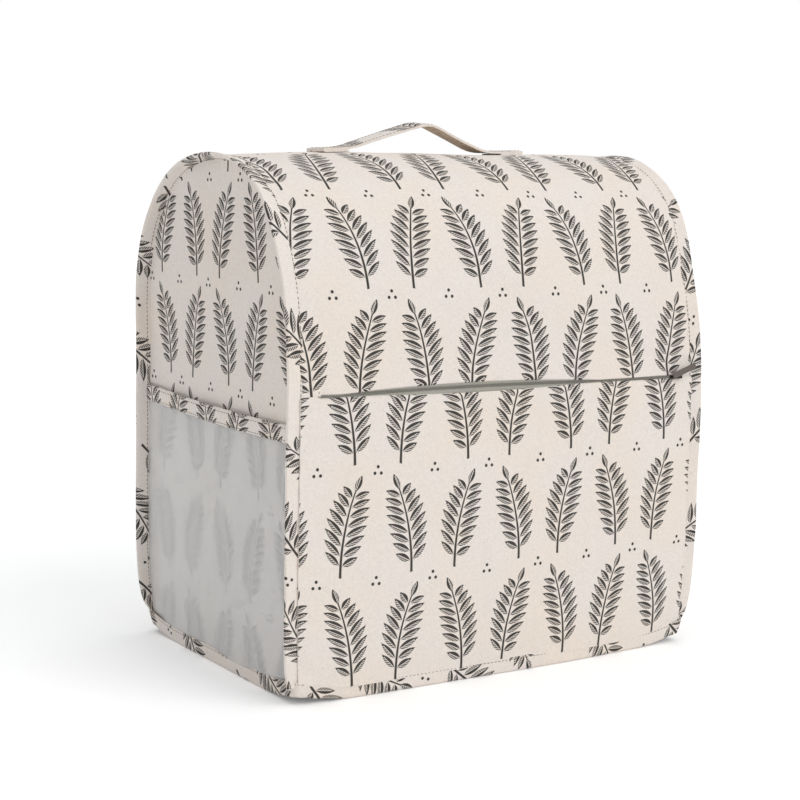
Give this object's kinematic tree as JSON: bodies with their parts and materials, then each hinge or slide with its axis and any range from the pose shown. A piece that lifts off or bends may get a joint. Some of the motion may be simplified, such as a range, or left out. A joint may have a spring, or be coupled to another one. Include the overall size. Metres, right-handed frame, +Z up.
{
  "type": "stand mixer cover",
  "caption": "Fitted cloth cover for a stand mixer with an arched top, bound seams, a zipped front pocket, a frosted end pocket and a carrying strap.",
  "frame": {"origin": "middle of the floor under the open hem", "axes": "+X to the right along the long side, +Y from the pocket front to the plain back, +Z up"},
  "size_m": [0.358, 0.2355, 0.3871],
  "materials": {
    "printed_canvas": "cream cotton canvas, printed in charcoal, dry matte",
    "printed_binding": "cream printed binding tape, dry matte",
    "frosted_film": "frosted translucent film",
    "zip_tape": "grey-green woven tape",
    "zip_teeth": "moulded coil",
    "zip_metal": "dark satin",
    "zip_pull": "taupe grey satin"
  },
  "bodies": {
    "root": {"main_panel": "printed_canvas", "side_panel_left": "printed_canvas", "side_panel_right": "printed_canvas", "seam_binding_left": "printed_binding", "seam_binding_right": "printed_binding", "hem_binding": "printed_binding", "front_pocket": "printed_canvas", "zip_tape": "zip_tape", "zip_coil": "zip_teeth", "zip_slider": "zip_metal", "zip_pull": "zip_pull", "side_pocket": "frosted_film", "side_pocket_binding": "printed_binding", "handle": "printed_canvas"}
  },
  "joints": []
}
